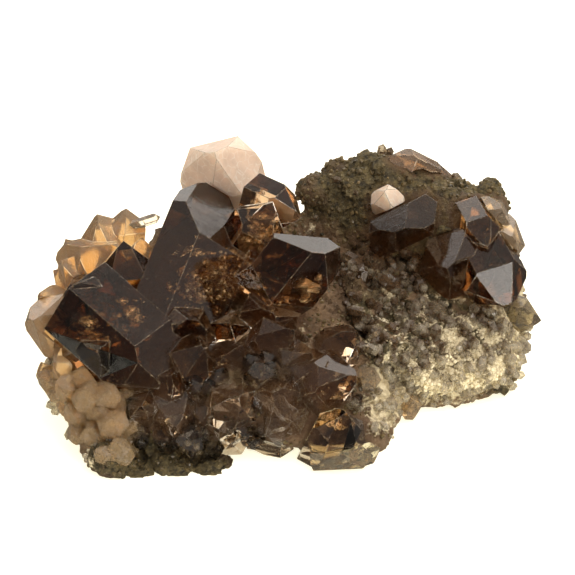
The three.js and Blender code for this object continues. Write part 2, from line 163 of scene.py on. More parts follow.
def noise_at(tree, place, size_mm, detail=3.0, rough=0.55, stretch=0.0):
    """Cloudy noise whose lumps are about size_mm across."""
    size = 1 / (size_mm * MM)
    inputs = {"Vector": place, "Scale": size, "Detail": detail, "Roughness": rough, "Distortion": stretch}
    return put(tree, "ShaderNodeTexNoise", inputs).outputs["Fac"]


def ramp(tree, value, low, high, start=0.0, end=1.0):
    """Maps value from low..high to start..end, and holds it there outside."""
    node = put(
        tree,
        "ShaderNodeMapRange",
        {"Value": value, "From Min": low, "From Max": high, "To Min": start, "To Max": end},
    )
    return node.outputs["Result"]


def blend(tree, share, first, second):
    """A colour between two colours."""
    node = put(tree, "ShaderNodeMix", data_type="RGBA")
    for socket, value in zip((node.inputs[0], node.inputs[6], node.inputs[7]), (share, first, second)):
        if isinstance(value, bpy.types.NodeSocket):
            tree.links.new(value, socket)
        elif socket.type == "RGBA":
            socket.default_value = (*value, 1)
        else:
            socket.default_value = value
    return node.outputs[2]


def maths(tree, operation, first, second=0.0):
    node = put(tree, "ShaderNodeMath", operation=operation)
    for socket, value in zip(node.inputs, (first, second)):
        if isinstance(value, bpy.types.NodeSocket):
            tree.links.new(value, socket)
        else:
            socket.default_value = value
    return node.outputs[0]


def bump(tree, height, depth_mm, strength=1.0, under=None):
    inputs = {"Height": height, "Distance": depth_mm * MM, "Strength": strength}
    if under is not None:
        inputs["Normal"] = under
    return put(tree, "ShaderNodeBump", inputs).outputs["Normal"]


print("patterns: noise, ramp, blend, maths and bump")

# %% [markdown]
# ## Light table and lights
# The specimen lies on a white table that glows a little, as those for small stones do: the light that comes
# up through the pale crystals is what makes them honey-coloured. The crystal faces are mirrors of a few
# per cent, so a large bright sheet behind and above draws their tops, and a dim room in front leaves the
# faces that look at the viewer dark. The room is brighter overhead and on the right, so that each face of
# a crystal mirrors a little more or less of it than its neighbour.

# %% How light is traced
scene = bpy.context.scene
scene.view_settings.view_transform = "Standard"
scene.view_settings.look = "None"
scene.cycles.max_bounces = 16
scene.cycles.transmission_bounces = 16
scene.cycles.transparent_max_bounces = 12
scene.cycles.glossy_bounces = 6
scene.cycles.caustics_reflective = False
scene.cycles.caustics_refractive = True
scene.cycles.sample_clamp_indirect = 8
print("bounces through glass:", scene.cycles.transmission_bounces)

# %% Light table
TABLE_HALF = 3.0
TABLE_LEVEL = -0.05 * MM
TABLE_GLOW = 0.95
GLOW_COLOUR = (1.0, 0.95, 0.72, 1)
table_mesh = bpy.data.meshes.new("light_table")
table_signs = ((-1, -1), (1, -1), (1, 1), (-1, 1))
table_corners = [(x * TABLE_HALF, y * TABLE_HALF, TABLE_LEVEL) for x, y in table_signs]
table_mesh.from_pydata(table_corners, [], [(0, 1, 2, 3)])
light_table = bpy.data.objects.new("light_table", table_mesh)
scene.collection.objects.link(light_table)
light_table.visible_glossy = False
table_finish, tree = new_material("light_table", (1, 1, 1))
lit = put(tree, "ShaderNodeEmission", {"Color": GLOW_COLOUR, "Strength": TABLE_GLOW})
white = put(tree, "ShaderNodeBsdfDiffuse", {"Color": (0.8, 0.8, 0.8, 1)})
both = put(tree, "ShaderNodeAddShader")
tree.links.new(lit.outputs[0], both.inputs[0])
tree.links.new(white.outputs[0], both.inputs[1])
put(tree, "ShaderNodeOutputMaterial", {"Surface": both.outputs[0]})
table_mesh.materials.append(table_finish)
print("light table, m:", light_table.dimensions.x, "by", light_table.dimensions.y)

# %% [markdown]
# ## Room
# A mirror-like face shows the room. A photograph of a real room could be wrapped around the scene, but a
# smooth rise of brightness towards the ceiling and the right does the same for flat faces: each takes one
# even tone from it, and neighbours differ. The slightly warm colour is that of indoor lamps.

# %% Room
DARKEST, BRIGHTEST = 0.16, 0.7
WINDOW_SHARE = 0.7
ROOM_COLOUR = (1.0, 0.88, 0.77, 1)
world = bpy.data.worlds.new("room")
world.use_nodes = True
tree = world.node_tree
tree.nodes.clear()
sky = put(tree, "ShaderNodeTexCoord").outputs["Generated"]
way = put(tree, "ShaderNodeSeparateXYZ", {"Vector": sky}).outputs
ceiling = ramp(tree, way["Z"], 0.0, 0.75, DARKEST, BRIGHTEST)
window = ramp(tree, way["X"], 0.1, 1.0, 0.0, WINDOW_SHARE)
room_light = maths(tree, "ADD", ceiling, maths(tree, "MULTIPLY", window, ceiling))
room = put(tree, "ShaderNodeBackground", {"Color": ROOM_COLOUR, "Strength": room_light})
put(tree, "ShaderNodeOutputWorld", {"Surface": room.outputs[0]})
scene.world = world
print("room, front to ceiling:", DARKEST, "to", BRIGHTEST)

# %% [markdown]
# ## Lights
# Three soft sheets: one behind, which the tops of the crystals mirror, one above, which fills the shadows
# and isn't mirrored itself, and a small one at the front right, which draws small glints. Each is set by the
# brightness that a mirror shows of it, so its size can change without its glint getting brighter.

# %% Lights
SHEET_COLOUR = (1.0, 0.95, 0.88)


def soft_light(name, brightness, width, height, place, target=AIM):
    """A rectangular sheet of even light, whose brightness is what a mirror shows of it."""
    data = bpy.data.lights.new(name, "AREA")
    data.shape = "RECTANGLE"
    data.size = width
    data.size_y = height
    data.energy = brightness * math.pi * width * height
    data.color = SHEET_COLOUR
    made = bpy.data.objects.new(name, data)
    made.location = place
    made.rotation_euler = (Vector(target) - Vector(place)).to_track_quat("-Z", "Y").to_euler()
    made.visible_camera = False
    scene.collection.objects.link(made)
    return made


soft_light("sheet_behind", 1.3, 1.0, 0.75, (0.0, 0.75, 0.42))
fill = soft_light("sheet_above", 2.6, 0.9, 0.7, (0.25, 0.0, 0.8))
fill.visible_glossy = False
soft_light("lamp_front_right", 5.0, 0.3, 0.3, (0.35, -0.65, 0.52))
print("lights:", [light.name for light in bpy.data.lights])

# %% [markdown]
# ## From a solid to a piece
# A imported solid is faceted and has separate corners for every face. Each visible piece starts as a copy of
# one with its corners merged. Modifiers do the heavy work on it and are then turned into plain mesh, so
# that what is measured later is what is seen. The even skin is Blender's voxel remesh: it also joins bodies
# that overlap.

# %% From a solid to a piece
MERGE_REACH = 0.002 * MM


def merged_copy(node):
    """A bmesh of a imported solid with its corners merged."""
    bm = bmesh.new()
    bm.from_mesh(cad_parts[node].data)
    bmesh.ops.remove_doubles(bm, verts=bm.verts, dist=MERGE_REACH)
    return bm


def piece_from(name, bm, finish, smooth=False):
    mesh = bpy.data.meshes.new(name)
    bm.to_mesh(mesh)
    bm.free()
    for polygon in mesh.polygons:
        polygon.use_smooth = smooth
    mesh.materials.append(finish)
    made = bpy.data.objects.new(name, mesh)
    scene.collection.objects.link(made)
    return made


def applied(piece):
    """Turns a piece's modifiers into plain mesh."""
    depsgraph = bpy.context.evaluated_depsgraph_get()
    mesh = bpy.data.meshes.new_from_object(piece.evaluated_get(depsgraph))
    piece.modifiers.clear()
    old = piece.data
    piece.data = mesh
    bpy.data.meshes.remove(old)
    return piece


def remade(piece, grid):
    modifier = piece.modifiers.new("even skin", "REMESH")
    modifier.mode = "VOXEL"
    modifier.voxel_size = grid
    return applied(piece)


print("solids to dress:", len(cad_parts))

# %% [markdown]
# ## Where the crystals stand
# The rock keeps its even level where a crystal grows out of it, and small crystals and grains grow only
# beside the big ones. So every solid gets a search tree of its faces, which says how far a place is from
# the nearest crystal. A mask could be painted by hand instead, but this one follows the part.

# %% Where the crystals stand


def faces_of(name):
    bm = merged_copy(name)
    found = BVHTree.FromBMesh(bm)
    bm.free()
    return found


CRYSTAL_NODES = [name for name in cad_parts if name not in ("rock_matrix", "druse_crust")]
crystal_trees = [faces_of(name) for name in CRYSTAL_NODES]
rock_faces = faces_of("rock_matrix")
crust_faces = faces_of("druse_crust")


def way_to_crystals(place, reach=3 * MM):
    """How far the nearest crystal is, negative inside one."""
    nearest = reach
    for tree_of_faces in crystal_trees:
        hit, normal, _, distance = tree_of_faces.find_nearest(place, reach)
        if hit is None:
            continue
        signed = distance if (place - hit).dot(normal) > 0 else -distance
        nearest = min(nearest, signed)
    return nearest


print("crystal solids:", len(crystal_trees))

# %% [markdown]
# ## Rock
# The matrix is a broken plate of host rock: green-black chlorite on its wall and edge, cream feldspar where
# crystals broke away. The part's solid has its lumps. A few knobs of its outline are added as balls, and the
# copy is remade as one even fine skin. Sculpting by hand would take long and couldn't be repeated.

# %% Rock body
ROCK_GRID = 0.48 * MM
rock_finish, rock_tree = new_material("matrix_rock", (0.3, 0.28, 0.2))

# Lumps that stick out of the rock's outline: where they are seen, how far back, and half sizes.
ROCK_KNOBS = [
    ((-30.5, 3.6), 3.0, (3.6, 3.0, 3.4)),
    ((-26.0, 1.4), 4.5, (3.2, 4.0, 2.2)),
    ((-19.5, 2.4), 5.0, (4.2, 4.0, 2.6)),
    ((-13.5, 2.0), 5.5, (4.4, 4.0, 1.8)),
    ((6.2, 51.6), 54.5, (3.0, 3.0, 3.0)),
    ((10.8, 53.8), 55.5, (3.6, 3.5, 3.6)),
    ((15.2, 55.4), 56.0, (3.4, 3.5, 3.0)),
    ((38.0, 49.5), 54.0, (3.0, 4.0, 3.5)),
    ((35.0, 8.5), 33.0, (5.0, 4.0, 3.0)),
    ((28.0, 6.5), 31.0, (5.0, 3.0, 2.5)),
    ((-12.0, 44.8), 60.5, (9.0, 4.8, 8.0)),
    ((-14.0, 40.5), 58.0, (11.0, 5.0, 8.0)),
]


def rock_body():
    """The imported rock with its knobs, which the even skin then joins."""
    bm = merged_copy("rock_matrix")
    for place, back, half in ROCK_KNOBS:
        knob = bmesh.ops.create_icosphere(bm, subdivisions=3, radius=1.0)["verts"]
        for vertex in knob:
            offset = Vector([part * size for part, size in zip(vertex.co, half)]) * MM
            vertex.co = seen(*place, back) + offset
            vertex.co.z = max(vertex.co.z, 0.0)
    return bm


rock = remade(piece_from("rock_skin", rock_body(), rock_finish), ROCK_GRID)
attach(rock, "root")
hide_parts("rock_matrix")
print("rock faces:", len(rock.data.polygons))

# %% [markdown]
# ## Weathering
# Rock breaks into flat chips, and weather rounds and pits them. Smooth noise alone looks like dough. So each
# corner is lifted by two sizes of chips, which are the cells of a Voronoi pattern that each lean their own
# way, and by a little fractal noise for the pits.

# %% Weathering
ROCK_GROWTH = 0.45 * MM
ROCK_ROUGH_MM = 0.9
CHIP_MM, SPLINTER_MM, PIT_MM = 5.0, 2.2, 1.4


def fractal(place, size_mm, octaves):
    return noise.fractal(place / (size_mm * MM), 0.8, 2.1, octaves)


def broken(place, size_mm, lean):
    """Height of the flat chips of a fracture: each is a step up or down and leans its own way."""
    scaled = place / (size_mm * MM)
    _, middles = noise.voronoi(scaled)
    own = noise.cell_vector(middles[0] * 37.0) * 2 - Vector((1, 1, 1))
    return 0.5 * own.x + lean * (scaled - middles[0]).dot(own.zxy)


def roughness_at(place):
    chips = 1.0 * broken(place, CHIP_MM, 1.0) + 0.5 * broken(place, SPLINTER_MM, 1.0)
    return chips + 0.25 * fractal(place, PIT_MM, 3)


def weather(piece, growth, rough_mm):
    """Lifts the skin by growth, and more or less by layered noise where no crystal stands on it."""
    mesh = piece.data
    ways = []
    lifted = []
    for vertex in mesh.vertices:
        place = vertex.co.copy()
        way = way_to_crystals(place)
        ways.append(way)
        free = min(1.0, max(0.0, (way / MM - 0.6) / 1.5))
        lift = growth + free * rough_mm * MM * roughness_at(place)
        moved = place + vertex.normal * lift
        moved.z = max(moved.z, 0.0)
        lifted.append(moved)
    for vertex, moved in zip(mesh.vertices, lifted):
        vertex.co = moved
    mesh.polygons.foreach_set("use_smooth", [False] * len(mesh.polygons))
    mesh.update()
    return ways


rock_ways = weather(rock, ROCK_GROWTH, ROCK_ROUGH_MM)
skin_corners = [vertex.co.copy() for vertex in rock.data.vertices]
skin_faces = BVHTree.FromPolygons(skin_corners, [face.vertices for face in rock.data.polygons])
print("corners of the rock clear of every crystal:", sum(way > 2 * MM for way in rock_ways))

# %% [markdown]
# ## Colours of the rock
# Green-black chlorite, brown-grey rock and cream feldspar have no clean borders. They are kept as two shares
# on the skin's corners, worked out from where they are seen, and noise in the material breaks their edges.

# %% Colours of the rock


def near(place, centre_mm, reach_mm):
    """1 at a place, falling to 0 at its reach."""
    offset = place / MM - Vector(centre_mm)
    away = Vector((offset.x / reach_mm[0], offset.y / reach_mm[1], offset.z / reach_mm[2])).length
    return max(0.0, 1.0 - away)


def share_on(piece, name, shares):
    attribute = piece.data.attributes.new(name, "FLOAT", "POINT")
    attribute.data.foreach_set("value", shares)


def cream_share(place):
    hollow_foot = near(place, (27, -6, 8), (24, 18, 9))
    front_chips = near(place, (-9, -22, 13), (3, 4, 4)) + near(place, (17, -15, 7), (5, 13, 8))
    left_rim = near(place, (-38, -14, 12), (13, 20, 16))
    patches = max(0.0, 1.1 * noise.noise(place / (8 * MM)) - 0.2)
    return min(1.0, 1.6 * hollow_foot + 1.4 * front_chips + 0.9 * left_rim + patches)


def dark_share(place):
    base_band = near(place, (-21, -30, 1), (15, 12, 6))
    right_edge = near(place, (42, -4, 6), (7, 12, 12))
    wall = near(place, (22, 22, 30), (28, 14, 18))
    patches = max(0.0, 1.5 * noise.noise(place / (11 * MM) + Vector((4, 0, 0))))
    return min(1.0, 1.8 * base_band + 1.5 * right_edge + 1.2 * wall + patches)


share_on(rock, "cream", [cream_share(v.co) for v in rock.data.vertices])
share_on(rock, "dark", [dark_share(v.co) for v in rock.data.vertices])
cream_corners = sum(cream_share(corner) > 0.5 for corner in skin_corners)
print("share of cream rock:", round(cream_corners / len(skin_corners), 2))

# %% [markdown]
# ## Painted brown shade under the crystals
# Under and between the dark crystals, and in the cleft beside the hollow, hardly any light reaches the rock,
# and what does is brown. Light alone could do it, but the thin stone lets too much through here. So a third
# share on the corners paints brown shade on the rock that stands close to a crystal or in the cleft. The
# pale rim on the left has none.

# %% Painted brown shade under the crystals
PALE_RIM_END = -27 * MM
CLEFT_REACH = (7, 10, 10)
SHADE_REACH = 2 * MM


# Painted shade in the cleft beside the hollow: 1 in its middle, falling to 0 at its reach.
def cleft_shade_share(place, across_mm):
    return min(1.0, 1.5 * near(place, (across_mm, 7, 19), CLEFT_REACH))


painted_shade = []
# Painted shade: the share is 1 inside or against a crystal and falls to 0 at 2 mm from it, or follows the
# cleft.
for vertex, way in zip(rock.data.vertices, rock_ways):
    under = 1.0 - min(1.0, max(0.0, way / SHADE_REACH))
    shaded = max(cleft_shade_share(vertex.co, 13), under)
    painted_shade.append(shaded if vertex.co.x > PALE_RIM_END else 0.0)
share_on(rock, "painted_shade", painted_shade)
print("shaded corners:", sum(share > 0.5 for share in painted_shade))

# %% [markdown]
# ## Rock finish
# Host rock is three minerals in patches: brown-grey rock, green-black chlorite and cream feldspar. Each gets
# a dark and a light tone with noise between them. The shares on the corners say where each lies, and noise
# of the grain's own size is added to them first, so that their borders fray as real ones do. Last, the
# shade share blends a painted brown shade over the rock under the crystals and in the cleft.

# %% Rock finish
BROWN_ROCK = (0.075, 0.045, 0.024), (0.24, 0.155, 0.085)
CHLORITE = (0.022, 0.018, 0.009), (0.17, 0.13, 0.055)
FELDSPAR = (0.36, 0.28, 0.15), (0.86, 0.77, 0.55)
SPECK = (0.42, 0.38, 0.26)
# The brown that the painted shade blends the rock towards.
BROWN_SHADE = (0.10, 0.052, 0.026)


def dress_rock(tree):
    place = place_of(tree)
    broad = noise_at(tree, place, 6, 5, 0.6)
    fine = noise_at(tree, place, 1.1, 5, 0.65)
    grit = noise_at(tree, place, 0.35, 3, 0.6)
    cream = put(tree, "ShaderNodeAttribute", attribute_name="cream").outputs["Fac"]
    dark = put(tree, "ShaderNodeAttribute", attribute_name="dark").outputs["Fac"]
    base = blend(tree, ramp(tree, broad, 0.35, 0.65), *BROWN_ROCK)
    green = blend(tree, ramp(tree, fine, 0.35, 0.7), *CHLORITE)
    chalk = blend(tree, ramp(tree, fine, 0.3, 0.7), *FELDSPAR)
    frayed_dark = maths(tree, "ADD", dark, ramp(tree, broad, 0.3, 0.7, -0.25, 0.25))
    frayed_cream = maths(tree, "ADD", cream, ramp(tree, fine, 0.3, 0.7, -0.35, 0.35))
    green_share = ramp(tree, frayed_dark, 0.25, 0.5)
    chalk_share = ramp(tree, frayed_cream, 0.3, 0.55)
    colour = blend(tree, chalk_share, blend(tree, green_share, base, green), chalk)
    speck = ramp(tree, grit, 0.62, 0.72)
    colour = blend(tree, maths(tree, "MULTIPLY", speck, 0.5), colour, SPECK)
    # Painted shade: where the shade share is high, under and beside crystals and in the cleft, the colour
    # goes to brown.
    painted_shade_share = put(tree, "ShaderNodeAttribute", attribute_name="painted_shade").outputs["Fac"]
    colour = blend(tree, maths(tree, "MULTIPLY", painted_shade_share, 0.8), colour, BROWN_SHADE)
    relief = bump(tree, grit, 0.25, 0.7, bump(tree, fine, 0.6, 0.8))
    skin = put(
        tree,
        "ShaderNodeBsdfPrincipled",
        {"Base Color": colour, "Roughness": ramp(tree, fine, 0.3, 0.8, 0.55, 0.95), "Normal": relief},
    )
    put(tree, "ShaderNodeOutputMaterial", {"Surface": skin.outputs[0]})


dress_rock(rock_tree)
print("nodes in the rock finish:", len(rock_tree.nodes))

# %% [markdown]
# ## Crystals
# Quartz grows as a six-sided prism with a six-faced point, and its prism faces carry fine steps across the
# long axis. The part's solids have those faces. Each copy is merged back to whole faces and gets a hair-thin
# bevel, because a real edge is never sharp and its glint is what draws it. To lay the steps the right way,
# each face needs its crystal's long axis: two prism sides meet at 60 degrees, and a side and the face of the
# point above it at 38.2, which no other pair of neighbours does.

# %% Crystal axes
PRISM_TURN = math.radians(60)
SHOULDER_TURN = math.radians(38.2)
TURN_SLACK = math.radians(0.8)


def crystal_axes(bm):
    """The long axis of the crystal that each face belongs to, where its neighbours tell it."""
    axes = {}
    shoulders = []
    for edge in bm.edges:
        if len(edge.link_faces) != 2 or not edge.is_convex:
            continue
        one, other = edge.link_faces
        turn = one.normal.angle(other.normal, 0)
        if abs(turn - PRISM_TURN) < TURN_SLACK:
            axis = one.normal.cross(other.normal).normalized()
            axes[one.index] = axis
            axes[other.index] = axis
        elif abs(turn - SHOULDER_TURN) < TURN_SLACK:
            shoulders.append((one, other))
    for one, other in shoulders:
        if one.index in axes and other.index not in axes:
            axes[other.index] = axes[one.index]
        elif other.index in axes and one.index not in axes:
            axes[one.index] = axes[other.index]
    return axes


def lay_grain(bm):
    """Writes on each face's corners how far along and across its crystal they are, in millimetres."""
    axes = crystal_axes(bm)
    layer = bm.loops.layers.float_vector.new("grain")
    draw = random.Random(11)
    for face in bm.faces:
        normal = face.normal
        axis = axes.get(face.index)
        if axis is None:
            edges = [edge.verts[0].co - edge.verts[1].co for edge in face.edges]
            axis = max(edges, key=lambda edge: edge.length).normalized()
        along = (axis - normal * axis.dot(normal)).normalized()
        across = normal.cross(along)
        shift = draw.uniform(0, 50)
        for loop in face.loops:
            place = loop.vert.co / MM
            loop[layer] = (place.dot(along) + shift, place.dot(across), shift)
    return len(axes)


print("turns that tell an axis, degrees:", [round(math.degrees(t), 1) for t in (PRISM_TURN, SHOULDER_TURN)])

# %% [markdown]
# ## Worn edges
# The edges of an old crystal are chipped here and there, which draws a broken pale line along them. A white
# line along every edge looks drawn, so the finish of the bevels is clear stone in most places, and dull
# cream only where noise is high.

# %% Worn edges
QUARTZ_BEND = 1.544
CHIP_COLOUR = (0.55, 0.42, 0.27, 1)
EDGE_TINT = (0.9, 0.8, 0.65, 1)


def edge_finish():
    """Edges are where a crystal chips: tiny dull cream breaks with clear stone between them."""
    made, tree = new_material("worn_edge", (0.8, 0.7, 0.5))
    place = place_of(tree)
    chips = noise_at(tree, place, 0.9, 4, 0.7)
    dull = put(tree, "ShaderNodeBsdfDiffuse", {"Color": CHIP_COLOUR})
    glass = {"Base Color": EDGE_TINT, "Roughness": 0.25, "Transmission Weight": 1.0, "IOR": QUARTZ_BEND}
    clear = put(tree, "ShaderNodeBsdfPrincipled", glass)
    chipped = put(tree, "ShaderNodeMixShader", {"Fac": ramp(tree, chips, 0.50, 0.68, 0.0, 0.55)})
    tree.links.new(clear.outputs[0], chipped.inputs[1])
    tree.links.new(dull.outputs[0], chipped.inputs[2])
    put(tree, "ShaderNodeOutputMaterial", {"Surface": chipped.outputs[0]})
    return made


worn_edge = edge_finish()
print("worn edge nodes:", len(worn_edge.node_tree.nodes))

# %% [markdown]
# ## From a solid to a crystal
# The copy's facets are merged back to whole crystal faces, then beveled. A bevel by angle needs no list of
# edges: the steps within a face turn by less than a degree, and real edges by far more.

# %% From a solid to a crystal
BEVEL = 0.06 * MM
FINE_BEVEL = 0.04 * MM
SAME_FACE = math.radians(0.6)
SHORTEST_EDGE = 0.03 * MM
PART_EDGE_DEGREES = 12


def wear_edges(piece, width, from_angle):
    """Bevels a piece's sharp edges and gives the bevels the chipped finish."""
    piece.data.materials.append(worn_edge)
    modifier = piece.modifiers.new("worn edges", "BEVEL")
    modifier.width = width
    modifier.segments = 1
    modifier.limit_method = "ANGLE"
    modifier.angle_limit = math.radians(from_angle)
    modifier.use_clamp_overlap = False
    modifier.material = 1
    applied(piece)


def crystal_piece(name, node, finish, bevel=BEVEL):
    bm = merged_copy(node)
    bmesh.ops.dissolve_limit(bm, angle_limit=SAME_FACE, verts=bm.verts, edges=bm.edges)
    bmesh.ops.remove_doubles(bm, verts=bm.verts, dist=SHORTEST_EDGE)
    bm.faces.index_update()
    known = lay_grain(bm)
    total = len(bm.faces)
    piece = piece_from(name, bm, finish)
    wear_edges(piece, bevel, PART_EDGE_DEGREES)
    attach(piece, "root")
    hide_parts(node)
    print(name, "faces with a known axis:", known, "of", total)
    return piece


# %% [markdown]
# ## Crystal finishes
# A see-through stone is a clear skin over a body that swallows light: what reaches the eye is brown because
# blue goes first, then green. The finish for each tint is the same recipe with another strength: how much of
# each colour a millimetre takes, how frosted the skin is, and how deep its growth steps are. Dust and chips
# that lie on top are a thin dull layer.

# %% Growth steps, cracks and dust
LINE_SCALE = (2.6, 0.22, 0.37)
HILL_SCALE = (0.5, 0.3, 0.37)
CRACK_CELL_MM = 1.5
CRACK_TINT = (1.0, 0.97, 0.92)
DUST_COLOUR = (0.62, 0.56, 0.45, 1)


def growth_steps(tree, steps):
    """Fine lines laid along each face over low wide hills: the lines, and the normal that both give."""
    grain = put(tree, "ShaderNodeAttribute", attribute_name="grain").outputs["Vector"]
    squeezed = put(tree, "ShaderNodeMapping", {"Vector": grain, "Scale": LINE_SCALE}).outputs[0]
    fine = {"Vector": squeezed, "Scale": 1.0, "Detail": 4.0, "Roughness": 0.6}
    lines = put(tree, "ShaderNodeTexNoise", fine)
    wide = put(tree, "ShaderNodeMapping", {"Vector": grain, "Scale": HILL_SCALE}).outputs[0]
    broad = {"Vector": wide, "Scale": 1.0, "Detail": 2.0, "Roughness": 0.4}
    hills = put(tree, "ShaderNodeTexNoise", broad)
    low = bump(tree, hills.outputs["Fac"], steps * 0.02)
    return lines.outputs["Fac"], bump(tree, lines.outputs["Fac"], steps * 0.01, 1.0, low)


def cracked(tree, place, crackle, colour, normal):
    """Lays fine pale cracks over a colour, and roughens the normal a little."""
    inputs = {"Vector": place, "Scale": 1 / (CRACK_CELL_MM * MM)}
    cells = put(tree, "ShaderNodeTexVoronoi", inputs, feature="DISTANCE_TO_EDGE").outputs["Distance"]
    crumbs = noise_at(tree, place, 0.9, 4, 0.7)
    crack = maths(tree, "MULTIPLY", ramp(tree, cells, 0.0, 0.07, crackle, 0.0), ramp(tree, crumbs, 0.4, 0.6))
    return blend(tree, crack, colour, CRACK_TINT), bump(tree, crumbs, 0.12 * crackle, 1.0, normal)


def dusted(tree, place, patches, dust, stone):
    """Mixes dull specks and a thin film over the stone's own skin."""
    dull = put(tree, "ShaderNodeBsdfDiffuse", {"Color": DUST_COLOUR})
    specks = noise_at(tree, place, 0.28, 2, 0.5)
    dusty = maths(tree, "MULTIPLY", ramp(tree, specks, 0.66, 0.72), dust)
    film = maths(tree, "MULTIPLY", ramp(tree, patches, 0.5, 0.75), dust * 0.1)
    layered = put(tree, "ShaderNodeMixShader", {"Fac": maths(tree, "ADD", dusty, film)})
    tree.links.new(stone.outputs[0], layered.inputs[1])
    tree.links.new(dull.outputs[0], layered.inputs[2])
    return layered.outputs[0]


print("crack cells, mm:", CRACK_CELL_MM)

# %% [markdown]
# ## The body of the stone
# The colour of a clear stone isn't on its skin. A tinted skin would be as dark on a thin chip as on a thick
# prism. Here the skin of the clear kinds is nearly colourless glass, and a volume inside takes its share of
# red, green and blue on every millimetre: thin rims come out amber and thick prisms nearly black.

# %% Crystal finish recipe
MILKY_FROM = 0.5
PATCH_SHADE = 0.82


def stone_body(tree, taken_per_mm):
    """The volume that swallows light, as densely as the colour that it swallows most needs."""
    strongest = max(taken_per_mm)
    colour = (*[1 - taken / strongest for taken in taken_per_mm], 1)
    return put(tree, "ShaderNodeVolumeAbsorption", {"Color": colour, "Density": strongest / MM}).outputs[0]


def crystal_finish(
    name, tint, taken_per_mm, polish, frost, steps, dust, cloud=0.0, body=(1, 1, 1), crackle=0.0
):
    """taken_per_mm: how strongly red, green and blue fade per millimetre. polish and frost: the lowest and
    highest roughness. steps: depth of the growth steps in hundredths of a millimetre. cloud: how milky the
    body is. crackle: how strongly fine cracks show."""
    made, tree = new_material(name, tint)
    place = place_of(tree)
    patches = noise_at(tree, place, 3.5, 4, 0.6)
    lines, normal = growth_steps(tree, steps)
    worn = maths(tree, "ADD", patches, ramp(tree, lines, 0.3, 0.7, -0.1, 0.1))
    colour = blend(tree, ramp(tree, patches, 0.35, 0.65), body, tuple(part * PATCH_SHADE for part in body))
    if crackle:
        colour, normal = cracked(tree, place, crackle, colour, normal)
    inputs = {
        "Base Color": colour,
        "Roughness": ramp(tree, ramp(tree, worn, 0.42, 0.68), 0.0, 1.0, polish, frost),
        "Transmission Weight": 1.0 - cloud,
        "IOR": QUARTZ_BEND,
        "Normal": normal,
    }
    if cloud > MILKY_FROM:
        inputs["Subsurface Weight"] = 1.0
        inputs["Subsurface Radius"] = (1.0, 0.9, 0.8)
        inputs["Subsurface Scale"] = 2.5 * MM
    stone = put(tree, "ShaderNodeBsdfPrincipled", inputs)
    surface = dusted(tree, place, patches, dust, stone)
    put(tree, "ShaderNodeOutputMaterial", {"Surface": surface, "Volume": stone_body(tree, taken_per_mm)})
    print(name, "half of the blue light is gone after, mm:", round(math.log(2) / taken_per_mm[2], 1))
    return made


# %% [markdown]
# ## Six kinds of quartz
# One specimen shows quartz from nearly black to nearly colourless. Smoky is dark and the cleanest, amber and
# pale are lighter and a little cloudy, honey is the clear rod, slab and edge crystal, frosted is milky
# throughout, and brown is dull and half opaque.

# %% Six kinds of quartz
smoky = crystal_finish(
    "smoky_quartz", (0.12, 0.07, 0.04), (0.068, 0.11, 0.165), polish=0.015, frost=0.09, steps=1.2, dust=0.12
)
amber = crystal_finish(
    "amber_quartz", (0.5, 0.3, 0.12), (0.03, 0.07, 0.15), polish=0.05, frost=0.3, steps=1.6, dust=0.3,
    cloud=0.18, body=(0.9, 0.72, 0.5), crackle=0.2,
)
pale = crystal_finish(
    "pale_quartz", (0.85, 0.7, 0.45), (0.014, 0.046, 0.12), polish=0.04, frost=0.25, steps=1.8, dust=0.25,
    cloud=0.26, body=(0.88, 0.64, 0.37), crackle=0.5,
)
frosted = crystal_finish(
    "frosted_quartz", (0.9, 0.8, 0.7), (0.002, 0.008, 0.018), polish=0.35, frost=0.65, steps=3.0, dust=0.3,
    cloud=0.85, body=(0.88, 0.71, 0.58), crackle=0.6,
)
honey = crystal_finish(
    "clear_quartz", (0.95, 0.85, 0.6), (0.006, 0.018, 0.06), polish=0.02, frost=0.15, steps=1.5, dust=0.2,
    cloud=0.06, body=(1.0, 0.95, 0.8),
)
brown = crystal_finish(
    "brown_quartz", (0.3, 0.17, 0.08), (0.12, 0.2, 0.32), polish=0.12, frost=0.45, steps=2.0, dust=0.5,
    cloud=0.2, body=(0.6, 0.42, 0.28),
)

# %% [markdown]
# ## The crystals of the part
# Eleven of the part's solids are crystals or groups that grew into each other. Each gets the finish that it
# has on the specimen. The milky ones get a finer bevel, because a white stone hides its worn edges.

# %% The crystals of the part
crystal_piece("smoky_crystals", "smoky_crystal_cluster", smoky)
crystal_piece("ledge_crystal_clear", "ledge_crystal", smoky)
crystal_piece("right_crystals", "right_smoky_crystals", smoky)
crystal_piece("flank_crystals", "amber_flank_crystals", amber)
crystal_piece("rim_front_crystals", "pale_front_crystals", pale)
crystal_piece("rim_rear_crystals", "pale_rear_crystals", pale)
crystal_piece("crown_crystal", "pale_crown_crystal", frosted, FINE_BEVEL)
crystal_piece("rod", "rod_crystal", honey)
crystal_piece("edge_crystal", "clear_edge_crystal", honey)
crystal_piece("small_perched_crystal", "perched_crystal", frosted, FINE_BEVEL)
crystal_piece("slab_crystals", "wall_top_crystals", brown)

# %% [markdown]
# ## Small crystals
# Between the big crystals stand many small ones, too many for the part. A crystal can be cut by a loop the
# way nature builds it: a block that is trimmed by six sides and by the six faces of its point. No two draw
# the same widths, because real ones are never even, and each goes as deep into the rock as it stands out.

# %% One small crystal
QUARTZ_RATIO = 1.1
POINT_TILT = math.atan(QUARTZ_RATIO * 2 / math.sqrt(3))
SIXTH = math.tau / 6
FLOOR_GAP = 0.05 * MM


def trim(block, outward, reach, slack=1e-4):
    """Cuts away what lies further out than reach."""
    everything = block.verts[:] + block.edges[:] + block.faces[:]
    cut = bmesh.ops.bisect_plane(
        block, geom=everything, dist=slack, plane_co=outward * reach, plane_no=outward, clear_outer=True
    )
    rim = [part for part in cut["geom_cut"] if isinstance(part, bmesh.types.BMEdge)]
    if rim:
        bmesh.ops.edgenet_fill(block, edges=rim)


